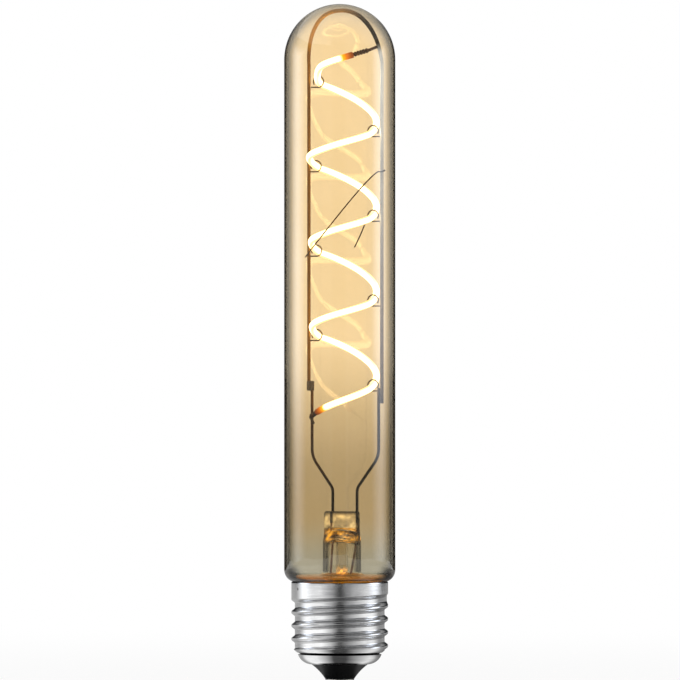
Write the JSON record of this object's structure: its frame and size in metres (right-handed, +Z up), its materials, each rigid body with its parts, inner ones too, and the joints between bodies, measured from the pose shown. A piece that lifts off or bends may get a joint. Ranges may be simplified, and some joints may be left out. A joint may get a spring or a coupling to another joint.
{
  "type": "tubular led filament light bulb",
  "caption": "Slim tubular amber glass lamp with a rounded top, a spiral LED filament hooked to a wire frame inside, and an Edison screw cap.",
  "frame": {"origin": "centre of the flat bottom face of the centre contact", "axes": "+Z up the lamp's axis to the dome, -Y to the viewer, +X to the viewer's right"},
  "size_m": [0.0302, 0.0302, 0.185],
  "materials": {
    "amber_glass": "gloss",
    "clear_glass": "gloss",
    "cap_metal": "satin",
    "black_glass": "gloss",
    "contact_metal": "satin",
    "cement": "matte",
    "nickel_wire": "satin",
    "copper_wire": "satin",
    "filament": "matte",
    "bead_glass": "gloss",
    "board": "satin",
    "moulded_black": "matte",
    "sleeve": "gloss",
    "resistor_body": "matte"
  },
  "bodies": {
    "root": {"glass_envelope": "amber_glass", "stem_flare": "clear_glass", "exhaust_tube": "clear_glass", "support_frame": "nickel_wire", "left_lead_wire": "nickel_wire", "right_lead_wire": "nickel_wire", "left_outer_lead": "copper_wire", "right_outer_lead": "copper_wire", "insulating_bead": "bead_glass", "led_filament": "filament", "top_filament_tab": "nickel_wire", "bottom_filament_tab": "nickel_wire", "filament_hook_left_1": "nickel_wire", "filament_hook_left_2": "nickel_wire", "filament_hook_left_3": "nickel_wire", "filament_hook_left_4": "nickel_wire", "filament_hook_right_1": "nickel_wire", "filament_hook_right_2": "nickel_wire", "filament_hook_right_3": "nickel_wire", "filament_hook_right_4": "nickel_wire", "tie_wire": "nickel_wire", "screw_shell": "cap_metal", "cap_insulator": "black_glass", "centre_contact": "contact_metal", "basing_cement": "cement", "driver_board": "board", "rectifier_bridge": "moulded_black", "driver_chip": "moulded_black", "smoothing_capacitor": "sleeve", "fuse_resistor": "resistor_body", "shell_wire": "copper_wire"}
  },
  "joints": []
}
